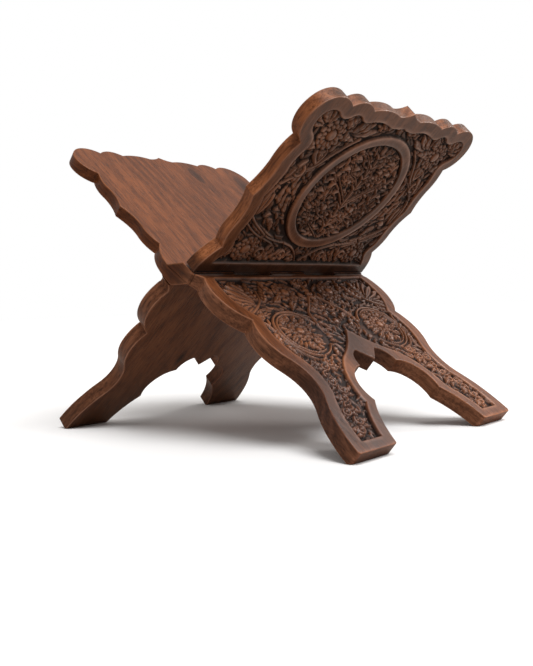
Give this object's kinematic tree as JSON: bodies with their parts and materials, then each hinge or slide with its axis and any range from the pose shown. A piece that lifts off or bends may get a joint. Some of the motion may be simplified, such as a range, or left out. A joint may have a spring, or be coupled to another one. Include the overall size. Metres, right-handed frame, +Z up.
{
  "type": "folding book stand",
  "caption": "Folding X-shaped wooden book stand: two scalloped, carved boards with legs, captive in each other on pinless interlocking knuckles.",
  "frame": {"origin": "on the floor, under the middle of the hinge axis", "axes": "+Z up, Y along the hinge axis, X across the opening; the left leaf leans to -X"},
  "size_m": [0.295, 0.2028, 0.2257],
  "materials": {
    "wood_left": "satin waxed hardwood, reddish brown, darker in the carving",
    "wood_right": "satin waxed hardwood, dark brown, darker in the carving"
  },
  "bodies": {
    "left_board": {"left_leaf_board": "wood_left"},
    "right_board": {"right_leaf_board": "wood_right"}
  },
  "joints": [
    {"name": "fold_hinge", "type": "hinge", "parent": "left_board", "child": "right_board", "pos_m": [0, 0, 0.11786], "axis": [0, 1, 0], "range_deg": [-98.6, 0]}
  ]
}
